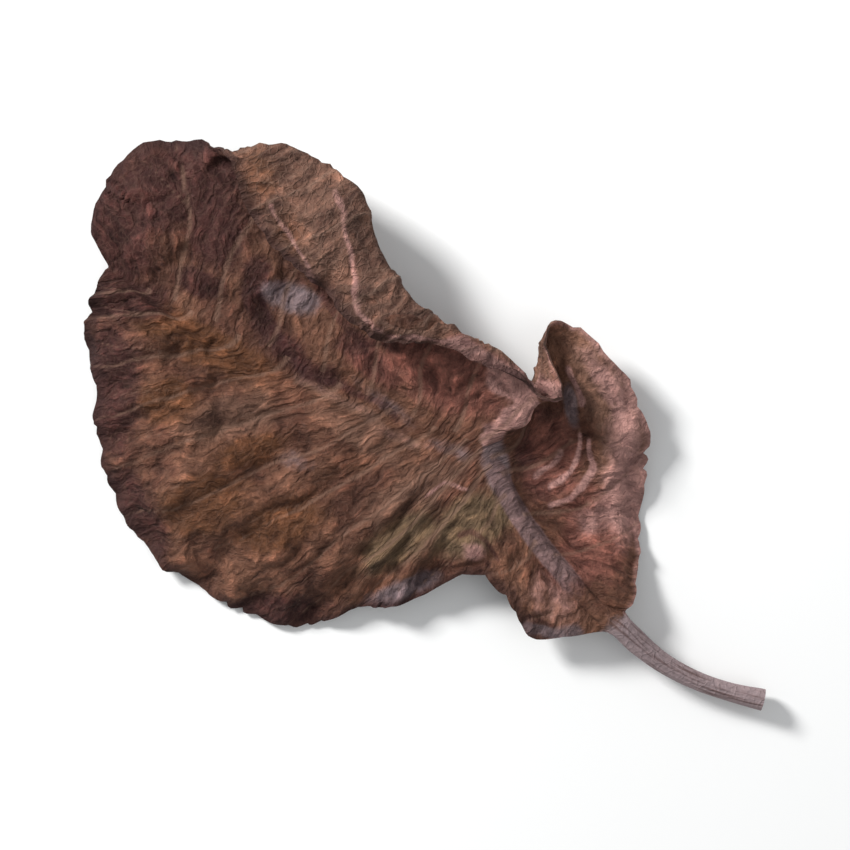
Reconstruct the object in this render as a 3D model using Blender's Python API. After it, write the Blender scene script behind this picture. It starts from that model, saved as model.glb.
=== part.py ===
"""A dried autumn leaf, grown as one piece: a stalk, its midrib and a crinkled round blade.

The leaf lies on its underside. Its left half is a low dome, its right half climbs from the
midrib and rolls back over itself along the margin, and a pleat near the base lifts the end of
that roll over a small side lobe. One sheet is lofted through ribs that cross the leaf from
margin to margin, and the sheet is then thickened into a closed solid.

Run it with: blender --background --python part.py
"""

import math
from collections import namedtuple

import bmesh
import bpy
import numpy as np

# Driving dimensions, in millimetres
MM = 0.001
BLADE_THICKNESS = 0.3
MIDRIB_RADIUS = 1.3
MIDRIB_END_RADIUS = 0.2
MIDRIB_TOP_SHARE = 0.35
RIB_SPACING = 2.1
COLUMNS_LEFT = 14
COLUMNS_RIGHT = 18
COLUMNS_ON_MIDRIB = 3
WIDEST_MIDRIB_SHARE = 0.6
PLEAT_HEIGHT = 0.35
PLEAT_LENGTH = 6.5
PLEAT_SWAY = 1.3
MIDRIB_TAPER = 1.3
STALK_BLENDS_IN = 8.0
SMOOTH_UP_TO_DEGREES = 50

# Where the pleats fade along a rib: flat at the midrib and flat again at the fold.
PLEATS_FULL_AT = 0.4
FOLD_AT = 0.5
FOLD_FADE = 0.25

# Places along a rib: the left margin is -1, the midrib 0 and the right margin 1.
ALONG_RIB = np.array([-1, -2 / 3, -1 / 3, 0, 0.25, 0.5, 0.75, 1])

# The stalk's centre line from its free end to the blade, and its radius there.
STALK = (
    (41.0, -34.6, 1.5, 1.35),
    (37.2, -33.7, 1.55, 1.15),
    (32.6, -32.1, 1.9, 1.15),
    (28.4, -29.8, 2.5, 1.25),
    (25.2, -27.2, 3.2, 1.45),
    (22.8, -24.9, 3.8, 1.65),
)

# A rib of the blade: where it meets the left margin, the midrib, the middle of the right half, the
# fold or shoulder of the right half and the right margin, as (x, y, z) above the ground, and how far
# the sheet swells up a third and two thirds of the way to the left margin, and across the flap.
Rib = namedtuple("Rib", "left midrib inner fold right left_swells flap_swell")

BLADE = (
    # the base, where the left margin is a small rolled rim
    Rib((17.3, -26.6, 3.7), (19.5, -22.2, 4.4), (21.0, -22.2, 4.3),
        (22.6, -22.2, 4.2), (24.9, -22.6, 3.7), (0.2, 0.3), 0.0),
    Rib((12.5, -26.6, 3.5), (15.6, -17.8, 4.7), (18.6, -17.9, 3.5),
        (21.6, -18.0, 3.3), (25.6, -18.2, 2.0), (0.2, 0.7), 0.4),
    # the side lobe, a hollow that climbs to its far margin
    Rib((9.3, -21.8, 4.2), (12.4, -13.8, 4.8), (16.4, -13.6, 2.6),
        (20.4, -13.3, 2.3), (26.0, -12.5, 0.15), (0.1, 0.3), 0.8),
    Rib((5.0, -19.0, 4.4), (10.0, -10.2, 4.7), (14.8, -9.3, 2.1),
        (19.6, -8.5, 2.2), (26.5, -6.0, 1.2), (0.2, 0.5), 0.9),
    Rib((-2.5, -22.5, 2.4), (8.4, -6.8, 4.5), (13.3, -5.3, 1.9),
        (18.3, -3.8, 2.4), (26.3, -0.5, 3.0), (0.4, 1.2), 0.9),
    Rib((-6.5, -23.1, 1.7), (7.6, -5.6, 4.4), (12.4, -3.8, 2.1),
        (16.6, 0.8, 2.8), (23.2, 6.0, 4.6), (0.6, 1.8), 0.8),
    Rib((-9.5, -23.3, 1.2), (7.0, -4.7, 4.3), (11.0, -2.7, 2.4),
        (13.9, 4.0, 3.0), (17.6, 11.2, 5.0), (0.8, 2.1), 0.4),
    # the pleat: the far side of the lobe turns back under the roll, up to the crest
    Rib((-12.0, -24.5, 0.8), (6.7, -4.0, 4.2), (10.4, -2.0, 3.2),
        (12.6, 4.4, 4.0), (14.6, 11.5, 5.8), (0.9, 2.4), 0.2),
    Rib((-14.3, -25.5, 0.4), (6.4, -3.6, 4.2), (10.3, -1.6, 4.2),
        (12.8, 3.0, 5.8), (14.6, 7.2, 7.2), (1.0, 2.7), 0.0),
    Rib((-17.0, -25.6, 0.15), (6.0, -3.0, 4.1), (10.2, -1.3, 5.4),
        (13.3, 1.9, 8.4), (15.9, 3.1, 9.4), (1.1, 3.0), 0.1),
    # the rolled margin, narrow at first
    Rib((-22.0, -24.2, 0.15), (4.0, -2.1, 4.0), (6.7, 2.5, 6.4),
        (9.6, 7.0, 10.0), (8.4, 5.6, 11.3), (1.3, 3.6), 0.4),
    Rib((-29.3, -20.3, 0.3), (0.0, -0.6, 3.7), (1.8, 4.8, 6.4),
        (3.6, 10.2, 10.7), (1.4, 8.6, 11.7), (1.5, 4.2), 0.6),
    Rib((-36.2, -14.2, 0.5), (-5.5, 1.6, 3.5), (-3.8, 8.0, 6.2),
        (-2.2, 14.3, 10.8), (-7.0, 9.8, 10.6), (1.5, 4.4), 1.2),
    # the widest part of the flap
    Rib((-39.6, -7.5, 0.8), (-11.5, 4.7, 3.4), (-8.8, 12.6, 5.7),
        (-6.2, 20.4, 10.2), (-13.3, 16.2, 9.2), (1.4, 4.0), 1.3),
    Rib((-40.9, -1.5, 1.0), (-17.0, 7.5, 3.4), (-12.6, 17.2, 5.1),
        (-8.2, 26.8, 8.8), (-19.0, 21.0, 8.2), (1.2, 3.2), 1.5),
    Rib((-41.0, 4.0, 1.2), (-22.5, 10.0, 3.3), (-18.2, 20.6, 4.5),
        (-13.8, 31.2, 6.8), (-22.2, 26.0, 7.0), (1.0, 2.4), 1.2),
    Rib((-42.4, 9.0, 1.2), (-27.5, 12.5, 3.1), (-24.0, 22.6, 3.8),
        (-20.4, 32.5, 4.4), (-24.4, 31.6, 6.2), (0.8, 1.8), 0.5),
    # the round lobe beside the tip, and the notch that ends the midrib
    Rib((-42.1, 11.4, 1.3), (-29.4, 13.5, 3.0), (-27.1, 22.0, 3.6),
        (-24.6, 31.4, 3.8), (-26.2, 33.6, 3.8), (0.6, 1.3), 0.1),
    Rib((-41.6, 13.2, 1.4), (-31.6, 14.6, 2.8), (-30.4, 21.2, 3.9),
        (-29.4, 27.8, 3.2), (-30.0, 34.2, 1.4), (0.5, 0.9), 0.6),
    Rib((-41.3, 14.9, 1.6), (-34.0, 15.9, 2.5), (-34.2, 21.0, 3.8),
        (-34.4, 26.0, 3.1), (-35.0, 33.4, 0.15), (0.3, 0.6), 0.9),
    Rib((-41.0, 15.7, 1.7), (-37.0, 17.6, 2.1), (-38.0, 21.0, 2.6),
        (-38.6, 24.4, 2.6), (-39.8, 29.3, 0.8), (0.2, 0.3), 0.6),
    Rib((-40.5, 17.0, 1.7), (-39.4, 18.8, 1.8), (-40.2, 20.2, 1.9),
        (-40.9, 21.5, 1.9), (-41.5, 22.8, 1.7), (0.0, 0.0), 0.1),
)


def stalk_rib(centre, along, radius):
    """The control points of a rib that crosses the stalk, level and square to its line."""
    across = np.array([along[1], -along[0], 0]) / math.hypot(along[0], along[1])
    return centre + radius * ALONG_RIB[:, None] * across


def blade_rib(rib):
    """The control points of a rib of the blade."""
    left, midrib, inner, fold, right = np.array(rib[:5])
    up = np.array([0, 0, 1])
    near, far = rib.left_swells
    return np.array(
        [
            left,
            midrib + (left - midrib) * 2 / 3 + far * up,
            midrib + (left - midrib) / 3 + near * up,
            midrib,
            inner,
            fold,
            (fold + right) / 2 + rib.flap_swell * up,
            right,
        ]
    )


def control_net():
    """Every rib's control points, from the free end of the stalk to the notch."""
    centres, radii = np.array(STALK)[:, :3], np.array(STALK)[:, 3]
    ahead = np.gradient(centres, axis=0)
    stalk = [stalk_rib(*row) for row in zip(centres, ahead, radii)]
    return np.array(stalk + [blade_rib(rib) for rib in BLADE])


def smooth_through(knots, values, at):
    """A curve through values[i] at knots[i], read at other places: cubic pieces with shared slopes."""
    gaps = np.diff(knots)
    gaps = gaps.reshape(-1, *[1] * (values.ndim - 1))
    steps = np.diff(values, axis=0) / gaps
    inner = (gaps[1:] * steps[:-1] + gaps[:-1] * steps[1:]) / (gaps[1:] + gaps[:-1])
    slopes = np.concatenate([steps[:1], inner, steps[-1:]])
    piece = np.clip(np.searchsorted(knots, at, side="right") - 1, 0, len(knots) - 2)
    width = gaps[piece]
    f = ((at - knots[piece]) / np.diff(knots)[piece]).reshape(-1, *[1] * (values.ndim - 1))
    return (
        values[piece] * (1 + 2 * f) * (1 - f) ** 2
        + values[piece + 1] * f**2 * (3 - 2 * f)
        + slopes[piece] * width * f * (1 - f) ** 2
        - slopes[piece + 1] * width * f**2 * (1 - f)
    )


def rib_knots(net):
    """The distance along the leaf at each rib: the mean step from rib to rib, over all columns."""
    steps = np.linalg.norm(np.diff(net, axis=0), axis=2).mean(axis=1)
    return np.concatenate([[0], np.cumsum(steps)])


def stations(knots, spacing):
    """Places along the leaf about one spacing apart, with one on every rib."""
    places = [0.0]
    for low, high in zip(knots[:-1], knots[1:]):
        count = max(1, round((high - low) / spacing))
        places += list(np.linspace(low, high, count + 1)[1:])
    return np.array(places)


def side_columns(count, midrib_share):
    """Places from the midrib to one margin: a few round the midrib, the rest evenly to the margin."""
    k = np.arange(1, count + 1)
    on = np.sin(math.pi / 2 * np.minimum(k / COLUMNS_ON_MIDRIB, 1))
    off = np.maximum(k - COLUMNS_ON_MIDRIB, 0) / (count - COLUMNS_ON_MIDRIB)
    return midrib_share[:, None] * on + (1 - midrib_share[:, None]) * off


def pleats(place, across, knots):
    """How far the sheet rises and falls in broad pleats that follow the ribs."""
    blade_start = knots[len(STALK) + 2]
    fade_in = np.clip((place - blade_start) / (2 * PLEAT_LENGTH), 0, 1)
    fade_out = np.clip((knots[-1] - place) / PLEAT_LENGTH, 0, 1)
    off_midrib = np.clip(np.abs(across) / PLEATS_FULL_AT, 0, 1) ** 2
    off_fold = np.clip((FOLD_AT - across) / FOLD_FADE, 0, 1)
    wave = np.sin(2 * math.pi * place / PLEAT_LENGTH + PLEAT_SWAY * np.sin(3 * across))
    return PLEAT_HEIGHT * wave * off_midrib * off_fold * fade_in * fade_out


def midrib_radius(knots, along):
    """The stalk's radius, and past it the midrib's, which thins towards the notch."""
    blade = knots[len(STALK) :]
    left_to_go = (knots[-1] - blade) / (knots[-1] - blade[0])
    midrib = MIDRIB_END_RADIUS + (MIDRIB_RADIUS - MIDRIB_END_RADIUS) * left_to_go**MIDRIB_TAPER
    return smooth_through(knots, np.concatenate([np.array(STALK)[:, 3], midrib]), along)


def leaf_sheet(spacing, columns_left, columns_right):
    """The middle of the sheet as a grid of points, with each point's distance off the midrib, the
    midrib's radius there and the share of the stalk in it."""
    net = control_net()
    knots = rib_knots(net)
    along = stations(knots, spacing)
    ribs = smooth_through(knots, net, along)
    radius = midrib_radius(knots, along)
    shares = [
        np.minimum(radius * gap / np.linalg.norm(ribs[:, k] - ribs[:, 3], axis=1), WIDEST_MIDRIB_SHARE)
        for k, gap in ((2, 1 / 3), (4, 0.25))
    ]
    across = np.hstack(
        [
            -side_columns(columns_left, shares[0])[:, ::-1],
            np.zeros((len(along), 1)),
            side_columns(columns_right, shares[1]),
        ]
    )
    sheet = np.array([smooth_through(ALONG_RIB, rib, t) for rib, t in zip(ribs, across)])
    steps = np.linalg.norm(np.diff(sheet, axis=1), axis=2)
    run = np.hstack([np.zeros((len(along), 1)), np.cumsum(steps, axis=1)])
    off_midrib = np.abs(run - run[:, columns_left][:, None])
    stalkness = np.clip(1 - (along - knots[len(STALK) - 1]) / STALK_BLENDS_IN, 0, 1)
    sheet = sheet + normals(sheet) * pleats(along[:, None], across, knots)[..., None]
    return sheet, off_midrib, radius[:, None], stalkness[:, None]


def normals(sheet):
    """Unit vectors square to the sheet, on its upper side."""
    along, across = np.gradient(sheet, axis=0), np.gradient(sheet, axis=1)
    out = np.cross(across, along)
    return out / np.linalg.norm(out, axis=2, keepdims=True)


def leaf_skins(sheet, off_midrib, radius, stalkness):
    """The upper and the lower skin: half the blade's thickness each way, and the round midrib."""
    bulge = np.sqrt(np.maximum(radius**2 - np.minimum(off_midrib, radius) ** 2, 0))
    top_share = MIDRIB_TOP_SHARE + (1 - MIDRIB_TOP_SHARE) * stalkness
    out = normals(sheet)
    upper = sheet + out * (BLADE_THICKNESS / 2 + top_share * bulge)[..., None]
    lower = sheet - out * (BLADE_THICKNESS / 2 + bulge)[..., None]
    return upper, lower


def closed_solid(name, upper, lower):
    """Joins two grids of the same size round their edge into one closed mesh, at the box's foot."""
    both = np.concatenate([upper.reshape(-1, 3), lower.reshape(-1, 3)])
    low, high = both.min(axis=0), both.max(axis=0)
    both = both - [(low[0] + high[0]) / 2, (low[1] + high[1]) / 2, low[2]]
    rows, columns = upper.shape[:2]
    solid = bmesh.new()
    corners = [solid.verts.new(point) for point in both * MM]

    def corner(side, row, column):
        return corners[(side * rows + row) * columns + column]

    for row in range(rows - 1):
        for column in range(columns - 1):
            ring = [(row, column), (row, column + 1), (row + 1, column + 1), (row + 1, column)]
            solid.faces.new([corner(0, *place) for place in ring])
            solid.faces.new([corner(1, *place) for place in reversed(ring)])
    edge = [(0, c) for c in range(columns - 1)] + [(r, columns - 1) for r in range(rows - 1)]
    edge += [(rows - 1, c) for c in range(columns - 1, 0, -1)] + [(r, 0) for r in range(rows - 1, 0, -1)]
    for here, there in zip(edge, edge[1:] + edge[:1]):
        solid.faces.new([corner(0, *there), corner(0, *here), corner(1, *here), corner(1, *there)])
    bmesh.ops.triangulate(solid, faces=solid.faces)
    mesh = bpy.data.meshes.new(name)
    solid.to_mesh(mesh)
    solid.free()
    mesh.shade_smooth()
    mesh.set_sharp_from_angle(angle=math.radians(SMOOTH_UP_TO_DEGREES))
    return mesh


def leaf_material():
    """Dry leaf: red-brown, matt."""
    material = bpy.data.materials.new("dry_leaf")
    material.use_nodes = True
    shader = material.node_tree.nodes["Principled BSDF"]
    shader.inputs["Base Color"].default_value = (0.21, 0.11, 0.075, 1)
    shader.inputs["Roughness"].default_value = 0.75
    shader.inputs["Metallic"].default_value = 0.0
    return material


def main():
    for found in list(bpy.data.objects):
        bpy.data.objects.remove(found)
    skins = leaf_skins(*leaf_sheet(RIB_SPACING, COLUMNS_LEFT, COLUMNS_RIGHT))
    mesh = closed_solid("leaf", *skins)
    mesh.materials.append(leaf_material())
    bpy.context.scene.collection.objects.link(bpy.data.objects.new("leaf", mesh))


main()
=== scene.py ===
# %% [markdown]
# # A dried autumn leaf
#
# This lesson makes one dry leaf that lies on a pale floor: a round crinkled blade, a midrib that
# runs on into a short grey stalk, one margin rolled back over the blade, and a pleat near the base.
# That solid could be kept and only painted, but a leaf's wrinkles catch the light, so they have to
# be shape. Everything below therefore makes a finer mesh in the same place, and then its colours.

# %% Load the frame
import math
from collections import namedtuple

import bpy
import numpy as np
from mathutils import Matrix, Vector, noise


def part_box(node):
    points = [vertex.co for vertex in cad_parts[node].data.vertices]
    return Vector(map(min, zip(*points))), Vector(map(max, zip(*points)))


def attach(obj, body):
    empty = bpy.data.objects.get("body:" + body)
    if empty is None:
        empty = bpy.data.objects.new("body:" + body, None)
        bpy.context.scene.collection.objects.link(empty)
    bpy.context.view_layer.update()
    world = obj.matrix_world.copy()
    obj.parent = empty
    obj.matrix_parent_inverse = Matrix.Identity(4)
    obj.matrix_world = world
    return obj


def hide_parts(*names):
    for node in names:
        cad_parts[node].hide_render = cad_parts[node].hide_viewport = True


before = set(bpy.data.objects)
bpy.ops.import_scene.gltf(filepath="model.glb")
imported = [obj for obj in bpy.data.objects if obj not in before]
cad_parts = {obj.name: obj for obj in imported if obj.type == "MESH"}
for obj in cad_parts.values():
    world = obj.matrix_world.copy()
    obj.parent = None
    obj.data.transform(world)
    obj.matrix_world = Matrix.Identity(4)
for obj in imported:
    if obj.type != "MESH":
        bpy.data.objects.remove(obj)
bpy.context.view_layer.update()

leaf_low, leaf_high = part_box("leaf")
print("the solid leaf's box:", [round(side, 4) for side in leaf_high - leaf_low])
bpy.ops.object.select_all(action="DESELECT")

# %% [markdown]
# ## The line of the leaf
#
# A leaf is a sheet hung on a skeleton. The midrib is the backbone, and the side veins leave it like
# ribs. So the shape is given the same way: a list of ribs, each with the places where it meets the
# left margin, the midrib and the right margin. A place is x, y and the height above the ground, in
# millimetres. The solid leaf has the same ribs, so the two have one shape and fit each other.

# %% The ribs
MM = 0.001

# The stalk's centre line from its free end to the blade, and its radius there.
STALK = (
    (41.0, -34.6, 1.5, 1.35),
    (37.2, -33.7, 1.55, 1.15),
    (32.6, -32.1, 1.9, 1.15),
    (28.4, -29.8, 2.5, 1.25),
    (25.2, -27.2, 3.2, 1.45),
    (22.8, -24.9, 3.8, 1.65),
)

# A blade rib: its points, how far the left side swells above a straight line at one and at two
# thirds of the way out, and how far the part between the fold and the right margin swells.
Rib = namedtuple("Rib", "left midrib inner fold right left_swells flap_swell")

BLADE = (
    # the base, where the left margin is a small rolled rim
    Rib((17.3, -26.6, 3.7), (19.5, -22.2, 4.4), (21.0, -22.2, 4.3),
        (22.6, -22.2, 4.2), (24.9, -22.6, 3.7), (0.2, 0.3), 0.0),
    Rib((12.5, -26.6, 3.5), (15.6, -17.8, 4.7), (18.6, -17.9, 3.5),
        (21.6, -18.0, 3.3), (25.6, -18.2, 2.0), (0.2, 0.7), 0.4),
    # the side lobe, a hollow that climbs to its far margin
    Rib((9.3, -21.8, 4.2), (12.4, -13.8, 4.8), (16.4, -13.6, 2.6),
        (20.4, -13.3, 2.3), (26.0, -12.5, 0.15), (0.1, 0.3), 0.8),
    Rib((5.0, -19.0, 4.4), (10.0, -10.2, 4.7), (14.8, -9.3, 2.1),
        (19.6, -8.5, 2.2), (26.5, -6.0, 1.2), (0.2, 0.5), 0.9),
    Rib((-2.5, -22.5, 2.4), (8.4, -6.8, 4.5), (13.3, -5.3, 1.9),
        (18.3, -3.8, 2.4), (26.3, -0.5, 3.0), (0.4, 1.2), 0.9),
    Rib((-6.5, -23.1, 1.7), (7.6, -5.6, 4.4), (12.4, -3.8, 2.1),
        (16.6, 0.8, 2.8), (23.2, 6.0, 4.6), (0.6, 1.8), 0.8),
    Rib((-9.5, -23.3, 1.2), (7.0, -4.7, 4.3), (11.0, -2.7, 2.4),
        (13.9, 4.0, 3.0), (17.6, 11.2, 5.0), (0.8, 2.1), 0.4),
    # the pleat: the far side of the lobe turns back under the roll, up to the crest
    Rib((-12.0, -24.5, 0.8), (6.7, -4.0, 4.2), (10.4, -2.0, 3.2),
        (12.6, 4.4, 4.0), (14.6, 11.5, 5.8), (0.9, 2.4), 0.2),
    Rib((-14.3, -25.5, 0.4), (6.4, -3.6, 4.2), (10.3, -1.6, 4.2),
        (12.8, 3.0, 5.8), (14.6, 7.2, 7.2), (1.0, 2.7), 0.0),
    Rib((-17.0, -25.6, 0.15), (6.0, -3.0, 4.1), (10.2, -1.3, 5.4),
        (13.3, 1.9, 8.4), (15.9, 3.1, 9.4), (1.1, 3.0), 0.1),
    # the rolled margin, narrow at first
    Rib((-22.0, -24.2, 0.15), (4.0, -2.1, 4.0), (6.7, 2.5, 6.4),
        (9.6, 7.0, 10.0), (8.4, 5.6, 11.3), (1.3, 3.6), 0.4),
    Rib((-29.3, -20.3, 0.3), (0.0, -0.6, 3.7), (1.8, 4.8, 6.4),
        (3.6, 10.2, 10.7), (1.4, 8.6, 11.7), (1.5, 4.2), 0.6),
    Rib((-36.2, -14.2, 0.5), (-5.5, 1.6, 3.5), (-3.8, 8.0, 6.2),
        (-2.2, 14.3, 10.8), (-7.0, 9.8, 10.6), (1.5, 4.4), 1.2),
    # the widest part of the flap
    Rib((-39.6, -7.5, 0.8), (-11.5, 4.7, 3.4), (-8.8, 12.6, 5.7),
        (-6.2, 20.4, 10.2), (-13.3, 16.2, 9.2), (1.4, 4.0), 1.3),
    Rib((-40.9, -1.5, 1.0), (-17.0, 7.5, 3.4), (-12.6, 17.2, 5.1),
        (-8.2, 26.8, 8.8), (-19.0, 21.0, 8.2), (1.2, 3.2), 1.5),
    Rib((-41.0, 4.0, 1.2), (-22.5, 10.0, 3.3), (-18.2, 20.6, 4.5),
        (-13.8, 31.2, 6.8), (-22.2, 26.0, 7.0), (1.0, 2.4), 1.2),
    Rib((-42.4, 9.0, 1.2), (-27.5, 12.5, 3.1), (-24.0, 22.6, 3.8),
        (-20.4, 32.5, 4.4), (-24.4, 31.6, 6.2), (0.8, 1.8), 0.5),
    # the round lobe beside the tip, and the notch that ends the midrib
    Rib((-42.1, 11.4, 1.3), (-29.4, 13.5, 3.0), (-27.1, 22.0, 3.6),
        (-24.6, 31.4, 3.8), (-26.2, 33.6, 3.8), (0.6, 1.3), 0.1),
    Rib((-41.6, 13.2, 1.4), (-31.6, 14.6, 2.8), (-30.4, 21.2, 3.9),
        (-29.4, 27.8, 3.2), (-30.0, 34.2, 1.4), (0.5, 0.9), 0.6),
    Rib((-41.3, 14.9, 1.6), (-34.0, 15.9, 2.5), (-34.2, 21.0, 3.8),
        (-34.4, 26.0, 3.1), (-35.0, 33.4, 0.15), (0.3, 0.6), 0.9),
    Rib((-41.0, 15.7, 1.7), (-37.0, 17.6, 2.1), (-38.0, 21.0, 2.6),
        (-38.6, 24.4, 2.6), (-39.8, 29.3, 0.8), (0.2, 0.3), 0.6),
    Rib((-40.5, 17.0, 1.7), (-39.4, 18.8, 1.8), (-40.2, 20.2, 1.9),
        (-40.9, 21.5, 1.9), (-41.5, 22.8, 1.7), (0.0, 0.0), 0.1),
)
print("ribs across the stalk:", len(STALK), "and across the blade:", len(BLADE))

# %% [markdown]
# ## From ribs to a sheet
#
# A smooth curve is drawn through each rib's points, and then smooth curves along the leaf join the
# ribs. Blender's own loft tools need a window, so a short function does the sum for all points at
# once. Each piece of the curve is a cubic that shares its slope with the next piece, so the curve
# passes through every point and has no corner there.

# %% A smooth curve through points
def smooth_through(knots, values, at):
    """A curve through values[i] at knots[i], read at other places."""
    more = [1] * (values.ndim - 1)
    gaps = np.diff(knots).reshape(-1, *more)
    steps = np.diff(values, axis=0) / gaps
    inner = (gaps[1:] * steps[:-1] + gaps[:-1] * steps[1:]) / (gaps[1:] + gaps[:-1])
    slopes = np.concatenate([steps[:1], inner, steps[-1:]])
    piece = np.clip(np.searchsorted(knots, at, side="right") - 1, 0, len(knots) - 2)
    f = ((at - knots[piece]) / np.diff(knots)[piece]).reshape(-1, *more)
    return (
        values[piece] * (1 + 2 * f) * (1 - f) ** 2
        + values[piece + 1] * f**2 * (3 - 2 * f)
        + slopes[piece] * gaps[piece] * f * (1 - f) ** 2
        - slopes[piece + 1] * gaps[piece] * f**2 * (1 - f)
    )


squares = smooth_through(np.arange(4.0), np.arange(4.0) ** 2, np.array([1.5]))
print("a curve through 0, 1, 4 and 9 is at", squares[0], "halfway between 1 and 4")

# %% The points of every rib
# Where a rib's eight points are across the leaf: -1 is the left margin, 0 the midrib, 1 the right.
ALONG_RIB = np.array([-1, -2 / 3, -1 / 3, 0, 0.25, 0.5, 0.75, 1])


def stalk_rib(centre, along, radius):
    """Eight points in a level line across the stalk, from side to side."""
    across = np.array([along[1], -along[0], 0]) / math.hypot(along[0], along[1])
    return centre + radius * ALONG_RIB[:, None] * across


def blade_rib(rib):
    """Eight points from the left margin over the midrib and the fold to the right margin."""
    left, midrib, inner, fold, right = np.array(rib[:5])
    up = np.array([0, 0, 1])
    near, far = rib.left_swells
    return np.array(
        [
            left,
            midrib + (left - midrib) * 2 / 3 + far * up,
            midrib + (left - midrib) / 3 + near * up,
            midrib,
            inner,
            fold,
            (fold + right) / 2 + rib.flap_swell * up,
            right,
        ]
    )


centres, stalk_radii = np.array(STALK)[:, :3], np.array(STALK)[:, 3]
net = np.array(
    [stalk_rib(*row) for row in zip(centres, np.gradient(centres, axis=0), stalk_radii)]
    + [blade_rib(rib) for rib in BLADE]
)
steps = np.linalg.norm(np.diff(net, axis=0), axis=2).mean(axis=1)
knots = np.concatenate([[0], np.cumsum(steps)])
stalk_end, blade_knots = knots[len(STALK) - 1], knots[len(STALK) :]
print("the leaf is", round(knots[-1]), "mm along, and the stalk ends at", round(stalk_end))

# %% [markdown]
# ## Where the sheet is sampled
#
# The curves go through the ribs' points whatever the spacing, so a coarse sampling says where the
# solid leaf's box is, and a fine one carries the wrinkles. A subdivision modifier could make the
# fine one, but it would round the sharp fold off. The coarse sheet's box and the solid's box give
# one shift, which brings the fine sheet into the solid's place.

# %% Rows and columns
def stations(spacing, stalk_spacing):
    """Places along the leaf, with one on every rib."""
    places = [0.0]
    for low, high in zip(knots[:-1], knots[1:]):
        step = stalk_spacing if high <= stalk_end else spacing
        count = max(1, round((high - low) / step))
        places += list(np.linspace(low, high, count + 1)[1:])
    return np.array(places)


def side_columns(count, on_midrib, midrib_share):
    """Places from the midrib to one margin: a few crowded on the midrib, the rest evenly."""
    k = np.arange(1, count + 1)
    on = np.sin(math.pi / 2 * np.minimum(k / on_midrib, 1))
    off = np.maximum(k - on_midrib, 0) / (count - on_midrib)
    return midrib_share[:, None] * on + (1 - midrib_share[:, None]) * off


print("rows, one about every 2 mm:", len(stations(2.0, 2.0)))

# %% The sheet
MIDRIB_RADIUS, MIDRIB_END_RADIUS, MIDRIB_TAPER = 1.3, 0.2, 1.3
MOST_MIDRIB_SHARE = 0.6


def midrib_radius(along):
    """The radius of the stalk, and then of the midrib, which thins to the tip."""
    left_to_go = (knots[-1] - blade_knots) / (knots[-1] - blade_knots[0])
    thinning = (MIDRIB_RADIUS - MIDRIB_END_RADIUS) * left_to_go**MIDRIB_TAPER
    midrib = MIDRIB_END_RADIUS + thinning
    return smooth_through(knots, np.concatenate([stalk_radii, midrib]), along)


def normals(sheet):
    """Unit vectors square to the sheet, on its upper side."""
    out = np.cross(np.gradient(sheet, axis=1), np.gradient(sheet, axis=0))
    return out / np.linalg.norm(out, axis=2, keepdims=True)


def smooth_sheet(along, left_count, right_count, on_midrib):
    """Points of the sheet, and where each one is across the leaf, from -1 to 1."""
    ribs = smooth_through(knots, net, along)
    radius = midrib_radius(along)
    shares = []
    for beside in (2, 4):
        gap = np.linalg.norm(ribs[:, beside] - ribs[:, 3], axis=1)
        shares.append(np.minimum(radius * abs(ALONG_RIB[beside]) / gap, MOST_MIDRIB_SHARE))
    left = side_columns(left_count, on_midrib, shares[0])
    right = side_columns(right_count, on_midrib, shares[1])
    across = np.hstack([-left[:, ::-1], np.zeros((len(along), 1)), right])
    sheet = np.array([smooth_through(ALONG_RIB, rib, t) for rib, t in zip(ribs, across)])
    return sheet, across


radius_ends = midrib_radius(np.array([stalk_end, knots[-1]])).round(2)
print("radius at the stalk's end and at the tip, in mm:", radius_ends)

# %% [markdown]
# ## Pleats, thickness and midrib
#
# A young leaf is folded like a fan, and the dry blade keeps broad low pleats from it. The blade is
# thin, but the midrib is a round rod that stands out below it. A flat sheet with a separate tube
# along it would leave a seam, so both come from one rule: every point of the sheet gets an upper
# and a lower partner, half a thickness away and further where the midrib is.

# %% The broad pleats and the two skins
BLADE_THICKNESS = 0.3
PLEAT_LENGTH, PLEAT_HEIGHT = 6.5, 0.35
MIDRIB_SINKS_OVER = 8


def pleats(along, across):
    """Heights of the pleats, which fade out at the base, the tip, the midrib and the fold."""
    place = along[:, None]
    fade = np.clip((place - blade_knots[2]) / (2 * PLEAT_LENGTH), 0, 1)
    fade = fade * np.clip((knots[-1] - place) / PLEAT_LENGTH, 0, 1)
    fade = fade * np.clip(np.abs(across) * 2.5, 0, 1) ** 2
    fade = fade * np.clip((0.5 - across) / 0.25, 0, 1)
    turn = 2 * math.pi * place / PLEAT_LENGTH + 1.3 * np.sin(3 * across)
    return PLEAT_HEIGHT * fade * np.sin(turn)


def off_midrib(sheet, middle):
    """Distance from the midrib in millimetres along each rib, below zero on the left."""
    steps = np.linalg.norm(np.diff(sheet, axis=1), axis=2)
    run = np.hstack([np.zeros((len(sheet), 1)), np.cumsum(steps, axis=1)])
    return run - run[:, middle][:, None]


def skins(sheet, out, off, along, proud=0.35):
    """The upper and lower skin: half the thickness each way, and the round midrib. On the upper
    side it sinks to a low swelling, whose height is the share proud of its radius."""
    radius = midrib_radius(along)[:, None]
    bulge = np.sqrt(np.maximum(radius**2 - np.minimum(np.abs(off), radius) ** 2, 0))
    stalk_share = np.clip(1 - (along[:, None] - stalk_end) / MIDRIB_SINKS_OVER, 0, 1)
    swelling = stalk_share * bulge + (1 - stalk_share) * proud * bulge**2 / radius
    upper = sheet + out * (BLADE_THICKNESS / 2 + swelling)[..., None]
    lower = sheet - out * (BLADE_THICKNESS / 2 + bulge)[..., None]
    return upper, lower


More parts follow.
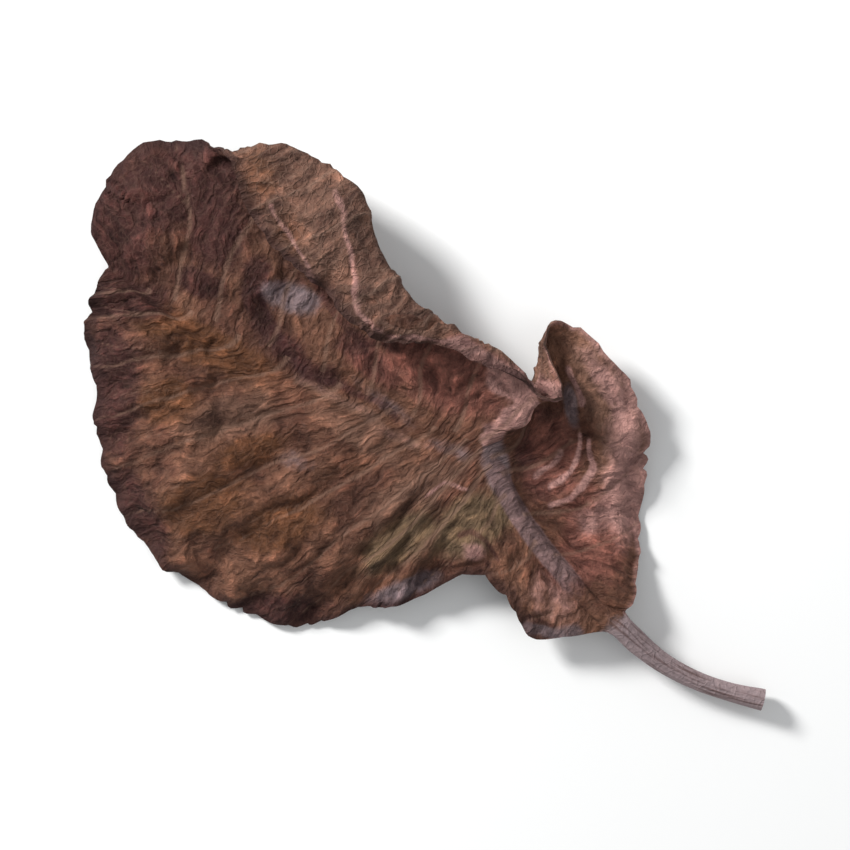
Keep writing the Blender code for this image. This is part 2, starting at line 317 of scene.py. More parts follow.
print("the blade is", BLADE_THICKNESS, "mm thick, with a pleat every", PLEAT_LENGTH, "mm")

# %% The shift to the solid's place
SOLID_SPACING = 2.1
SOLID_LEFT, SOLID_RIGHT, SOLID_MIDRIB = 14, 18, 3
coarse_along = stations(SOLID_SPACING, SOLID_SPACING)
coarse, coarse_across = smooth_sheet(coarse_along, SOLID_LEFT, SOLID_RIGHT, SOLID_MIDRIB)
coarse_off = off_midrib(coarse, SOLID_LEFT)
coarse = coarse + normals(coarse) * pleats(coarse_along, coarse_across)[..., None]
coarse_skins = np.concatenate(skins(coarse, normals(coarse), coarse_off, coarse_along))
coarse_low = coarse_skins.reshape(-1, 3).min(axis=0)
coarse_high = coarse_skins.reshape(-1, 3).max(axis=0)
shift = np.array(leaf_low) / MM - coarse_low
print("shift to the solid's place, in mm:", shift.round(3))
print("the two boxes differ by", np.abs(coarse_high + shift - np.array(leaf_high) / MM).max())

# %% The fine sheet
ROW_SPACING, STALK_ROW_SPACING = 0.42, 1.0
LEFT_COLUMNS, RIGHT_COLUMNS, MIDRIB_COLUMNS = 80, 102, 6
along = stations(ROW_SPACING, STALK_ROW_SPACING)
sheet, across = smooth_sheet(along, LEFT_COLUMNS, RIGHT_COLUMNS, MIDRIB_COLUMNS)
off = off_midrib(sheet, LEFT_COLUMNS)
plan = sheet[..., :2].copy()
rows, columns = across.shape
out = normals(sheet)
print("the fine sheet has", rows, "rows and", columns, "columns")

# The same places as the formulas below use them: a column of distances along the leaf, the share
# of the way to the margin, the radius of the midrib, and 0 on the stalk rising to 1 on the blade.
place = along[:, None]
reach = np.abs(across)
radius = midrib_radius(along)[:, None]
on_blade = np.clip((place - stalk_end - 3) / 5, 0, 1)

# %% [markdown]
# ## Wrinkles
#
# As a leaf dries, the soft blade shrinks between the veins, and it puckers into small folds that
# run the way the side veins run. They could be left to a bump texture, but then the outline and
# the shadows would stay flat. So they are heights, and a random field is their start. It is smeared
# along the ribs, as a comb would draw it out, which gives long streaks the same distance apart
# everywhere. Then it is warped, so that the folds wander, meet and part. Some fields are also bent
# over at zero: that makes thin crests between round hollows or, upside down, small pillows between
# thin grooves, as skin has them.

# %% Fields of wrinkles
SEED_STEP = 7.31
NOISE_SPREAD = 0.25


def lumps(size, seed):
    """Smooth random heights, about -1 to 1, in lumps of that size in millimetres."""
    places = sheet.reshape(-1, 3) / size + seed * SEED_STEP
    heights = [noise.noise(place) for place in places]
    return np.array(heights).reshape(rows, columns)


def combed(field, columns_far):
    """The field smeared along the ribs that many columns far, on each side of the midrib."""
    smeared = np.zeros_like(field)
    for side in (np.s_[:, : LEFT_COLUMNS + 1], np.s_[:, LEFT_COLUMNS:]):
        half = field[side]
        tail = np.arange(-3 * columns_far, 3 * columns_far + 1)
        weights = np.exp(-0.5 * (tail / columns_far) ** 2)
        padded = np.pad(half, ((0, 0), (3 * columns_far, 3 * columns_far)), mode="reflect")
        parts = [w * padded[:, k : k + half.shape[1]] for k, w in enumerate(weights)]
        smeared[side] = sum(parts) / weights.sum()
    return smeared / smeared.std()


def wandering(field, drift):
    """The field read drift rows away, so its streaks wander."""
    places = np.arange(rows)
    moved = [
        np.interp(places + drift[:, c], places, field[:, c]) for c in range(columns)
    ]
    return np.array(moved).T


def sharp_crests(field):
    """Thin crests where the field passes zero, with round hollows between them."""
    return 0.8 - np.minimum(np.abs(field), 2)


drift = 14 * lumps(12, 1) + 6.5 * lumps(4.5, 2)
folds = wandering(combed(lumps(2.0, 3), 6), drift)
creases = wandering(combed(lumps(1.15, 4), 3), drift)
puckers = lumps(2.4, 5) / NOISE_SPREAD
dents = lumps(6, 12) / NOISE_SPREAD
swells = sharp_crests(wandering(combed(lumps(3.6, 6), 7), drift))
pillows = -sharp_crests(wandering(combed(lumps(2.5, 14), 3), drift))
print("folds, from lowest to highest:", folds.min().round(2), folds.max().round(2))

# %% [markdown]
# ## Veins
#
# Side veins leave the midrib in turn, left and right, bend towards the tip and fork before the
# margin. On the upper side they lie in shallow grooves, and on the underside they stand proud.
# Tubes laid on the blade would look stuck on, so a vein is a number at each point instead: 1 on
# its line and less beside it. The same number later shapes the two skins and tints them.

# %% Veins
VEIN_SPACING = 3.6
row_step = np.linalg.norm(np.gradient(sheet, axis=0), axis=2)
mm_per_place = row_step / np.gradient(along)[:, None]


def vein(line, side, width, thinning):
    """How much of a vein is at each point: 1 on its line, and thinning towards the margin."""
    away = np.abs(place - line) * mm_per_place
    wide = width * (thinning[0] - thinning[1] * reach)
    return np.exp(-((away / wide) ** 2)) * (across * side > 0)


def branch(line, side, width, fork_at, spread):
    """A branch that leaves the vein at fork_at, a share of the way to the margin."""
    line = line + spread * np.maximum(reach - fork_at, 0)
    return vein(line, side, width, (1.0, 0.7)) * (reach > fork_at)


veins = np.zeros((rows, columns))
first_vein, last_vein = blade_knots[0] + 2, knots[-1] - 4
for number, start in enumerate(np.arange(first_vein, last_vein, VEIN_SPACING)):
    side = 1 if number % 2 else -1
    bend = 5.0 - 4 * (start - blade_knots[0]) / (knots[-1] - blade_knots[0])
    line = start + bend * reach**1.7 + 1.5 * lumps(8, start)
    veins = np.maximum(veins, vein(line, side, 0.42, (1.15, 0.6)))
    veins = np.maximum(veins, 0.8 * branch(line, side, 0.38, 0.4, 6.5))
    veins = np.maximum(veins, 0.6 * branch(line, side, 0.34, 0.62, -9))
print("share of the leaf on a vein:", (veins > 0.5).mean().round(3))

# %% [markdown]
# ## The margin
#
# The margin has small round teeth about 4 mm apart and is a little wavy. The teeth could be cut out
# of the mesh, but that would leave slivers. Instead they push the last two millimetres of the sheet
# outwards or inwards along the ribs, so the squares of the mesh stay whole.

# %% Teeth of the margin
TOOTH_LENGTH, TEETH_REACH = 3.7, 2.4
left_run, right_run = off[:, :1], off[:, -1:]
from_margin = np.where(across < 0, off - left_run, right_run - off)
margin_length = [
    np.concatenate([[0], np.cumsum(np.linalg.norm(np.diff(edge, axis=0), axis=1))])
    for edge in (sheet[:, 0], sheet[:, -1])
]
outward = np.gradient(sheet, axis=1)
outward = outward / np.linalg.norm(outward, axis=2, keepdims=True)
outward = outward * np.sign(across)[..., None]


def teeth(length, seed):
    """Round teeth of uneven size."""
    uneven = np.array([noise.noise((x / 6, seed, 0)) for x in length])
    turn = length / TOOTH_LENGTH + 1.3 * uneven
    tooth = np.abs(np.sin(math.pi * turn)) ** 0.7
    return 0.5 * (tooth - 0.6) * (1 + 1.4 * uneven)


push = np.where(
    across < 0,
    teeth(margin_length[0], 2.5)[:, None],
    teeth(margin_length[1], 8.5)[:, None],
)
push = push * np.clip(1 - from_margin / TEETH_REACH, 0, 1) ** 1.5 * on_blade
print("teeth stand out by up to", push.max().round(2), "mm")

# %% [markdown]
# ## Creases that were not left to chance
#
# The folds above are random, but this leaf also has creases that make its face: the lip of the
# rolled margin, the arcs round the pocket under the pleat, the crest of the dome, and the valley
# beside the midrib. They could be cut as edge loops, but the ribs don't run along them. So each is
# a line drawn over the leaf in millimetres, seen from above. Where the leaf lies over itself, a
# line would mark both layers, so every drawing is kept to one part of the leaf.

# %% The parts of the leaf
# Each part is 1 inside and fades to 0 over its border. The flap is what lies beyond the fold where
# the margin is rolled back, and inner_right is what lies between the midrib and the fold.
pleat_crest, flap_end = blade_knots[8], blade_knots[17]
PART_BORDER, HALF_BORDER = 1.5, 1 / 8
FLAP_FROM, FLAP_BORDER = 0.46, 0.06
past_lobe = np.clip((place - pleat_crest) / PART_BORDER, 0, 1)
on_lobe = (across > 0) * (1 - past_lobe)
rolled = past_lobe * np.clip((flap_end - place) / PART_BORDER, 0, 1)
left_half = np.clip(0.5 - across / HALF_BORDER, 0, 1)
flap = np.clip((across - FLAP_FROM) / FLAP_BORDER, 0, 1) * rolled
inner_right = np.clip(across / HALF_BORDER, 0, 1) * (1 - flap)
print("share of the sheet on the side lobe:", on_lobe.mean().round(2))
print("share of the sheet on the flap:", flap.mean().round(2))

# %% Lines on the leaf
# A hand isn't steady, so the lines are drawn on a plan that is pushed about a little.
unsteady = plan + 0.8 * np.stack([lumps(3.2, 21), lumps(3.2, 22)], axis=2)


def strokes(width, *lines):
    """1 on the lines, and falling to a tenth a width and a half to each side."""
    nearest = np.full((rows, columns), 1e9)
    for line in lines:
        for start, end in zip(line[:-1], line[1:]):
            start, way = np.array(start), np.subtract(end, start)
            share = np.clip((unsteady - start) @ way / (way @ way), 0, 1)
            gap = np.linalg.norm(unsteady - start - share[..., None] * way, axis=2)
            nearest = np.minimum(nearest, gap)
    return np.exp(-((nearest / width) ** 2))


DOME_CREST = (
    (-24.5, 7.2), (-19, 6.4), (-15.7, 5.2), (-12, 3.0), (-9.6, 2.0), (-5.4, -1.2), (-2, -3.4),
)
VALLEY = (
    (-21, 16.5), (-19.1, 10.6), (-17.4, 7.3), (-12.2, 4.4),
    (-8.6, 3.2), (-4.4, 0.3), (-0.6, -2.1), (3.5, -3.6),
)
CRESCENT = ((-0.7, -9.2), (2, -8.2), (4.6, -8.5))
LIP = ((-4.9, 9.8), (-0.5, 9.6), (3.9, 8.4), (8.2, 5.9), (12, 4), (16, 2.9))
FACET_EDGE = ((7.5, 5.2), (9.6, 2.8), (8, 0.4), (6.9, -1.6))
JUNCTION = ((7.1, -2.2), (6.2, -3.9), (7.5, -6), (9.4, -7.9), (10.4, -10.4))
ARCS = (
    ((16.6, 6.2), (17.8, 4.1), (18.8, 2.1)),
    ((18.4, -2), (18.4, -4.1), (17.6, -6.5), (16.1, -8), (14.6, -8.4)),
    ((15.8, -4.3), (14.8, -6), (12.8, -6.8)),
    ((19.9, -2.8), (20.1, -5.6), (19, -8.4), (17, -9.9), (15, -10.6)),
    ((22, -3), (22.2, -7), (20.6, -10.5), (18.4, -12.4)),
)
FLAP_VEINS = (
    ((-10.9, 27), (-10.5, 23.5), (-9.3, 19.5), (-8.9, 16), (-8.2, 12.4), (-5.6, 10.6)),
    ((-18.5, 25.6), (-17.2, 22.8), (-15.6, 20.4), (-13.4, 16.8)),
)
BLISTER_ARC = ((3.6, -14.2), (5.1, -14), (7, -15.2), (8.4, -17.6))
BASE_RIM = ((11.6, -25.9), (14.5, -26.2), (17.6, -26.1))
RIM_SLIT = ((12.2, -24.5), (15.4, -25.2))
BLISTER_SLIT = ((6.6, -18), (7.1, -18.4))
FLAP_EDGE = (
    (-24.4, 31.2), (-22.6, 25.6), (-19.3, 20.6), (-13.8, 15.6), (-7.6, 9.2), (-4, 8.6),
)
# The smooth V on the end of the pleat: a broad upper arm and a narrow lower one.
FACET_ARMS = (
    ((8.6, 4.4), (11, 3.2), (13.6, 2.5)),
    ((13.6, 2.5), (10, 0.2), (7, -2.6)),
)
BLISTER_CENTRE, BLISTER_RADIUS = (5.5, -16.4), 1.3
print("arcs in the side lobe:", len(ARCS), "and veins on the flap:", len(FLAP_VEINS))

# %% Creases that rise and creases that sink
raised = strokes(0.7, *ARCS) * on_lobe + strokes(0.55, CRESCENT) * left_half
raised = raised - strokes(0.5, *FLAP_VEINS) * flap
raised = raised + 0.8 * strokes(0.6, JUNCTION) + 1.8 * strokes(1.1, DOME_CREST)
sunken = 2.2 * strokes(0.9, VALLEY) * (1 - flap) + strokes(0.5, BLISTER_ARC) * left_half
sunken = sunken + 0.8 * strokes(0.6, FACET_EDGE) * inner_right * past_lobe
from_blister = ((plan - BLISTER_CENTRE) ** 2).sum(axis=2)
blister = np.exp(-(from_blister / BLISTER_RADIUS**2)) * left_half
facet = np.maximum(strokes(1.5, FACET_ARMS[0]), strokes(1.0, FACET_ARMS[1]))
facet = facet * (place > pleat_crest - 0.8) * (1 - flap)
print("share of the sheet on the smooth facet:", (facet > 0.5).mean().round(3))

# %% [markdown]
# ## Adding the heights up
#
# All the fields above are now added, each with its own height in millimetres. They fade where the
# real leaf is smooth: on the midrib, on the narrow base, at the sharp fold of the flap, and on the
# facet of the pleat. Sculpting with a brush could do the same, but a sum can be changed and run
# again. The finished skins are then held between the ground and the top of the solid.

# %% The height of every point
full_reach = np.maximum(np.abs(np.where(across < 0, left_run, right_run)), 0.1)
clear_of_midrib = np.clip((np.abs(off) - radius) / 2.5, 0, 1)
narrow = np.clip(full_reach / 12, 0, 1)
calm = on_blade * clear_of_midrib * narrow
near_fold = np.exp(-(((across - 0.5) / 0.07) ** 2)) * (across > 0)
ruffle = np.clip(1 - from_margin / 5, 0, 1) ** 2 * on_blade
vein_depth = 0.16 * veins * on_blade * clear_of_midrib

wrinkle = 0.10 * folds + 0.09 * creases + 0.06 * puckers + 0.18 * swells + 0.22 * pillows
wrinkle = wrinkle * calm * (1 - 0.5 * near_fold) * (1 - 0.7 * facet) * (1 - 0.45 * on_lobe)
height = wrinkle + 0.22 * dents * calm * (1 - near_fold)
height = height - vein_depth
height = height + 0.15 * ruffle * combed(lumps(3.5, 11), 3) * narrow
height = height + 0.3 * raised - 0.3 * sunken + 0.5 * blister
height = height + pleats(along, across)
print("heights, in mm:", height.min().round(2), height.max().round(2))

# %% The two skins of the finished leaf
# On top, the midrib is a low swelling near the stalk and nearly flush beyond the side lobe.
blade = sheet + out * height[..., None] + outward * push[..., None]
proud = 0.04 + 0.26 * np.clip((blade_knots[6] - place) / 14, 0, 1)
upper, lower = skins(blade, out, off, along, proud)
lower = lower - out * vein_depth[..., None]

# The leaf stays between the ground and the solid's top, within a quarter of a millimetre.
LOWEST, HIGHEST, EASE = coarse_low[2] - 0.02, coarse_high[2] + 0.25, 0.5


def kept_between(z):
    """Heights that slow down within EASE of either limit and never pass it."""
    bottom, top = LOWEST + EASE, HIGHEST - EASE
    z = np.where(z < bottom, LOWEST + EASE * np.exp((z - LOWEST - EASE) / EASE), z)
    return np.where(z > top, HIGHEST - EASE * np.exp((top - z) / EASE), z)


thick = upper[..., 2] - lower[..., 2]
lower_z = kept_between(lower[..., 2])
upper[..., 2] = np.where(thick > 0, lower_z + thick, upper[..., 2])
lower[..., 2] = lower_z
upper[..., 2] = np.minimum(upper[..., 2], HIGHEST)
print("the leaf's own height:", (upper[..., 2].max() - lower[..., 2].min()).round(2))

# %% [markdown]
# ## Where the leaf kept its colours, and where light and shade are painted
#
# A leaf doesn't turn brown evenly. It stays orange where it was thick, goes dark purple at the
# rim, grey-mauve in places, and a little green near the base. Some tones also paint light and shade
# into the colour: pale tan and pink as painted highlights where a face turns to the lamp, and dark
# tones as painted shade in the valley, the pocket and under the flap's edge. Random noise alone
# would put those patches anywhere, and a painted picture would need a file. So each tone gets a
# mask: a number at every point, made of a few soft ovals and of strokes along the creases.

# %% Soft ovals
def ovals(*shapes):
    """The strongest of some soft ovals (x, y, half length, half width, degrees), in mm."""
    total = np.zeros((rows, columns))
    for x, y, long, wide, degrees in shapes:
        turn = math.radians(degrees)
        east, north = plan[..., 0] - x, plan[..., 1] - y
        u = (east * math.cos(turn) + north * math.sin(turn)) / long
        v = (north * math.cos(turn) - east * math.sin(turn)) / wide
        total = np.maximum(total, np.exp(-((u * u + v * v) ** 1.3)))
    return total


test_oval = ovals((-10, -5, 5, 2.5, 0))
print("points where a soft oval, 10 by 5 mm, is over a half:", (test_oval > 0.5).sum())

# %% Masks for the tones
WRINKLE_FULL = 0.32
# A line of painted shade beside the valley.
VALLEY_SHADE_LINE = ((-21.5, 14), (-19, 9.5), (-15.5, 6.6), (-12.4, 5))
masks = {
    # The wrinkle heights, which later paint highlights on the crests and shade in the hollows.
    "fold": wrinkle / WRINKLE_FULL,
    "vein": veins * on_blade,
    "rim": np.clip(1 - from_margin / 3.5, 0, 1) * on_blade * (1 - 0.9 * on_lobe),
    "stalk": np.clip((stalk_end + 2 - place) / 3, 0, 1),
    "ember": ovals(
        (-27.4, -10.5, 6, 4, 20), (-27, 9, 9, 3, -25), (-33, 12.5, 3.5, 3, 0),
        (-18, -13, 6, 3, 25), (-32, 2, 4, 3, 0), (-30, 20, 4, 2.5, 0), (-22, -4, 5, 2, 20),
    ) * left_half + 0.5 * ovals((-21, 29, 4, 5, 0), (-17, 22, 3, 4, 0)) * flap,
    # Dark purple at the margins and on the round lobe, and painted shade beside the valley and
    # under the flap's lip.
    "dark_purple_and_painted_shade": ovals(
        (-31, 29, 11, 6.5, 22), (-38, 23, 5, 9, 0), (-37, 14.5, 6, 3, 0), (-26, 24, 4, 7, 0),
        (-20, -24, 9, 2.5, 5), (-4, -22, 4, 1, 20), (-39.5, 4, 4.6, 10, 0),
        (-36, -11, 2.5, 7, 35), (-28, 16.5, 4, 2, -20), (-21, 17, 2, 3, 0),
    ) * (1 - flap)
    + 0.8 * strokes(1.5, VALLEY_SHADE_LINE) * (1 - flap)
    + 0.5 * ovals((-8, 7.5, 6, 2.4, -35)) * inner_right * rolled,
    # A grey-mauve tone in a few patches, beside the midrib and along the base's rim.
    "grey_mauve": ovals(
        (-17, 14.8, 4.0, 1.9, -12), (8.2, -5.5, 1.6, 4.5, 12), (-3, -20.9, 5, 1.2, 18),
        (17.4, 1.6, 0.9, 2.6, 10),
    ) + 0.45 * ovals((-5.5, 2, 6, 1.1, -38), (2, -3.6, 4, 1.2, -20), (-16, -5.3, 2.6, 1.4, -30))
    + strokes(0.9, BASE_RIM) * left_half,
    "olive": ovals((5.3, -12.8, 6, 3.6, 30), (-3.5, -15, 6, 2.6, 35)) * left_half,
    "brick": ovals(
        (20.5, -14, 4.5, 6.5, 0), (17.5, -18, 4, 3, 0), (2, 5.4, 9, 4.4, -30),
        (15, -5, 4, 6, 0), (-7, 7, 5, 2, -40),
    ) * (across > -0.35) * (1 - flap)
    + 0.8 * strokes(1.6, LIP[2:]) * flap,
    # Pale tan, partly painted highlight: the bank and crest beside the midrib, the dome's crest and
    # the lobe's side that faces the lamp.
    "tan_and_painted_highlight": 0.7 * ovals((-9, -2, 7, 1.8, -33), (-2, -9, 9, 3, 30), (-24, 0, 7, 3, 10)) * left_half
    + ovals((23.6, -8, 3.2, 9, 0), (22, 3, 3.6, 8, 30)) * on_lobe
    + strokes(0.8, DOME_CREST[2:]),
    # Pale pink, mostly painted highlight: the facet and lip facing the lamp, the lobe's arcs, lit
    # side and margin, the crest and the blister; a pinkish tone at the base too.
    "pink_and_painted_highlight": 1.6 * facet
    + strokes(1.2, LIP[2:]) * flap
    + 0.95 * ovals((24, -9, 3, 6.5, 0)) * on_lobe + 0.5 * ovals((24, 0, 2, 4, 0)) * on_lobe
    + 0.6 * ovals((19.5, -12.5, 2, 2, 0), (21.5, 4.5, 1.8, 5, 35)) * on_lobe
    + 0.4 * ovals((15, -22.5, 3, 5, 40)) * left_half
    + 0.7 * strokes(0.35, LIP) * past_lobe
    + 0.9 * strokes(0.4, *ARCS[:4]) * on_lobe + 0.6 * strokes(0.3, CRESCENT)
    + 0.6 * strokes(0.4, *FLAP_VEINS) * flap + 0.8 * blister
    + 0.28 * strokes(0.9, DOME_CREST[2:])
    + 0.55 * np.clip(1 - from_margin / 0.9, 0, 1) * on_lobe,
    "midrib": np.clip((1.6 - np.abs(off) / radius) * 1.5, 0, 1)
    * np.clip((pleat_crest - place) / 12, 0, 0.85) * on_blade,
    # Painted shade: the pocket under the pleat, the blister's arc and the slits, the facet's edge,
    # the valley and the blade under the flap's edge.
    "painted_shade": 0.6 * ovals((14.6, 0.4, 2.2, 1.6, 0), (11.6, -3, 1.3, 3, 0)) * on_lobe
    + 0.8 * strokes(0.45, BLISTER_ARC, RIM_SLIT, BLISTER_SLIT) * left_half
    + 0.5 * strokes(0.5, FACET_EDGE) * inner_right * past_lobe
    + 0.5 * ovals((13, -8, 2, 5, 20)) * on_lobe
    + 0.75 * strokes(0.5, VALLEY[:6]) * (1 - flap)
    + 0.45 * strokes(0.8, FLAP_EDGE) * (1 - flap) * rolled
    + 0.5 * strokes(0.8, FLAP_EDGE[3:]) * (1 - flap) * rolled,
    "keel": np.clip((1.1 - np.abs(off) / radius) * 3, 0, 1) * on_blade,
}
print("masks:", ", ".join(masks))

# %% [markdown]
# ## The materials
#
# A dry leaf is dull and finely streaked. Nodes can be added by hand in the shader editor, but this
# material has over a hundred, so short helpers add and link them. One function then builds both
# sides of the blade, because they share their veins and folds. It starts from a ground colour, lays
# the tones over it through their masks, paints highlights on the crests of the folds and shade in
# the hollows, and ends with the fine net of veins and with the rim and the stalk.
# Every mask is shaken by a noise first, so that the borders of the tones are ragged.

# %% Helpers for node materials
def node(tree, kind, **values):
    """A new node with its properties, or its sockets of those names, set."""
    new = tree.nodes.new(kind)
    for key, value in values.items():
        if hasattr(new, key):
            setattr(new, key, value)
        else:
            new.inputs[key.replace("_", " ")].default_value = value
    return new


def feed(tree, value, socket):
    """A number or colour is set on the socket, and an output is linked to it."""
    if isinstance(value, bpy.types.NodeSocket):
        tree.links.new(value, socket)
    else:
        socket.default_value = (*value, 1) if isinstance(value, tuple) else value


def painted(tree, name):
    """The mask of that name, read from the mesh."""
    return node(tree, "ShaderNodeAttribute", attribute_name=name).outputs["Fac"]


def grain(tree, where, scale, detail=3.0, rough=0.55):
    """A noise from 0 to 1, about 0.5 on the whole."""
    new = node(tree, "ShaderNodeTexNoise", Scale=scale, Detail=detail, Roughness=rough)
    feed(tree, where, new.inputs["Vector"])
    return new.outputs["Fac"]


def sum_of(tree, first, second, operation="ADD"):
    """The two added, or put together by another operation of the Math node."""
    new = node(tree, "ShaderNodeMath", operation=operation)
    feed(tree, first, new.inputs[0])
    feed(tree, second, new.inputs[1])
    return new.outputs[0]


def ramp(tree, value, low, high, to_low=0.0, to_high=1.0):
    """The value brought from the range low to high into another range, smoothly."""
    new = node(tree, "ShaderNodeMapRange", interpolation_type="SMOOTHSTEP")
    for name, number in zip(
        ("Value", "From Min", "From Max", "To Min", "To Max"),
        (value, low, high, to_low, to_high),
    ):
        feed(tree, number, new.inputs[name])
    return new.outputs[0]


def lay_over(tree, below, tone, share):
    """The tone laid over the colour below, as much as the share says."""
    new = node(tree, "ShaderNodeMix", data_type="RGBA")
    feed(tree, share, new.inputs[0])
    feed(tree, below, new.inputs[6])
    feed(tree, tone, new.inputs[7])
    return new.outputs[2]


def shade(tree, below, tint, share):
    """The colour below made lighter or darker, as much as the share says."""
    new = node(tree, "ShaderNodeMix", data_type="RGBA", blend_type="MULTIPLY")
    feed(tree, share, new.inputs[0])
    feed(tree, below, new.inputs[6])
    feed(tree, tint, new.inputs[7])
    return new.outputs[2]


def wavering(tree, vector, where, scale, amount):
    """Coordinates that a noise pushes about, so that nothing drawn with them is straight."""
    gusts = node(tree, "ShaderNodeTexNoise", Scale=scale, Detail=3.0)
    feed(tree, where, gusts.inputs["Vector"])
    centred = node(tree, "ShaderNodeVectorMath", operation="SUBTRACT")
    feed(tree, gusts.outputs["Color"], centred.inputs[0])
    centred.inputs[1].default_value = (0.5, 0.5, 0.5)
    moved = node(tree, "ShaderNodeVectorMath", operation="MULTIPLY_ADD")
    feed(tree, centred.outputs["Vector"], moved.inputs[0])
    moved.inputs[1].default_value = (amount, amount, amount)
    feed(tree, vector, moved.inputs[2])
    return moved.outputs["Vector"]


def stretched(tree, coordinates, across_scale, along_scale):
    """Coordinates scaled apart, so that a noise read at them is drawn out one way."""
    mapping = node(tree, "ShaderNodeMapping", Scale=(across_scale, along_scale, 1))
    feed(tree, coordinates, mapping.inputs["Vector"])
    return mapping.outputs["Vector"]


print("a tone laid over another is one call, and so is a noise or a sum")

# %% The patterns that all parts of the material share
def patterns(tree):
    """The noises by name. The run map makes them follow the ribs, and a waver bends them."""
    here = node(tree, "ShaderNodeTexCoord").outputs["Object"]
    straight = node(tree, "ShaderNodeUVMap", uv_map="run").outputs["UV"]
    run = wavering(tree, straight, here, 130, 0.035)
    run = wavering(tree, run, here, 420, 0.016)
    folds_way = stretched(tree, run, 44, 120)
    stalk_way = stretched(tree, straight, 230, 16)
    cells = sum_of(tree, grain(tree, folds_way, 0.45, 2, 0.5), 0.5, "SUBTRACT")
    net = node(tree, "ShaderNodeTexVoronoi", feature="DISTANCE_TO_EDGE", Scale=900)
    feed(tree, wavering(tree, here, here, 700, 0.0012), net.inputs["Vector"])
    return {
        "blotches": grain(tree, here, 160, 5, 0.65),
        "ragged": sum_of(tree, grain(tree, here, 380, 6, 0.7), 0.5, "SUBTRACT"),
        "streaks": grain(tree, folds_way, 1.0, 6, 0.68),
        "cells": sum_of(tree, cells, 0.0, "ABSOLUTE"),
        "fine streaks": grain(tree, folds_way, 2.6, 5, 0.65),
        "crumbs": grain(tree, here, 1500, 3, 0.6),
        "thread": ramp(tree, net.outputs["Distance"], 0.14, 0.0),
        "fibres": grain(tree, stalk_way, 1.0, 4, 0.6),
    }


print("eight patterns, from broad blotches down to crumbs under a millimetre")

# %% Painted highlights on the crests, painted shade in the hollows
LIGHTER, DARKER = (1.9, 1.82, 1.78), (0.26, 0.20, 0.22)
# Each row: a pattern, the range over which the painted light or shade grows, the tint, and its
# most.
SHADING = (
    ("fold", 0.0, -1.3, DARKER, 0.6),
    ("fold", 0.25, 1.1, LIGHTER, 0.65),
    ("streaks", 0.48, 0.34, DARKER, 0.45),
    ("streaks", 0.52, 0.66, LIGHTER, 0.5),
    ("cells", 0.07, 0.0, DARKER, 0.28),
    ("cells", 0.06, 0.18, LIGHTER, 0.38),
    ("fine streaks", 0.54, 0.70, LIGHTER, 0.38),
    ("fine streaks", 0.47, 0.32, DARKER, 0.42),
    ("crumbs", 0.58, 0.74, LIGHTER, 0.4),
    ("crumbs", 0.42, 0.28, DARKER, 0.4),
)


def light_and_dark(tree, colour, found):
    """The colour with painted highlights on the crests and painted shade in the hollows, from the
    wrinkles of the mesh and the finer patterns.
    """
    waver = sum_of(tree, sum_of(tree, found["streaks"], 0.5, "SUBTRACT"), 2.0, "MULTIPLY")
    found = {**found, "fold": sum_of(tree, painted(tree, "fold"), waver)}
    for pattern, starts, full, tint, most in SHADING:
        colour = shade(tree, colour, tint, ramp(tree, found[pattern], starts, full, 0, most))
    return colour


print("shadings laid over each other:", len(SHADING))

# %% Rim, stalk and relief
RIM_TONE = (0.034, 0.015, 0.014)
BARK_TONES = (0.280, 0.216, 0.222), (0.140, 0.094, 0.092)


def rim_and_stalk(tree, colour, found):
    """The dark rim and the grey bark of the stalk laid over the colour of the blade."""
    rim = sum_of(tree, painted(tree, "rim"), sum_of(tree, found["ragged"], 0.8, "MULTIPLY"))
    colour = lay_over(tree, colour, RIM_TONE, ramp(tree, rim, 0.3, 1.0, 0, 0.72))
    bark = lay_over(tree, *BARK_TONES, ramp(tree, found["fibres"], 0.48, 0.64))
    shaken = sum_of(tree, painted(tree, "stalk"), sum_of(tree, found["ragged"], 0.9, "MULTIPLY"))
    return lay_over(tree, colour, bark, ramp(tree, shaken, 0.3, 0.8, 0, 0.9))


def relief(tree, found, net_relief):
    """The fine bumps: streaks and cells on the blade, fibres on the stalk, net and crumbs."""
    stalk = painted(tree, "stalk")
    bumps = sum_of(tree, found["fine streaks"], sum_of(tree, found["streaks"], 1.5, "MULTIPLY"))
    bumps = sum_of(tree, bumps, ramp(tree, found["cells"], 0.0, 0.15, 0, 0.9))
    bumps = sum_of(tree, bumps, ramp(tree, stalk, 0.7, 0.2), "MULTIPLY")
    on_stalk = sum_of(tree, ramp(tree, stalk, 0.3, 0.8), found["fibres"], "MULTIPLY")
    bumps = sum_of(tree, bumps, on_stalk)
    bumps = sum_of(tree, bumps, sum_of(tree, found["thread"], net_relief, "MULTIPLY"))
    bumps = sum_of(tree, bumps, sum_of(tree, found["crumbs"], 0.5, "MULTIPLY"))
    bump = node(tree, "ShaderNodeBump", Strength=0.9, Distance=0.0004)
    feed(tree, bumps, bump.inputs["Height"])
    return bump.outputs["Normal"]


print("the stalk's bark goes from", BARK_TONES[0], "to", BARK_TONES[1])

# %% A side of the blade
SHINE = 0.16


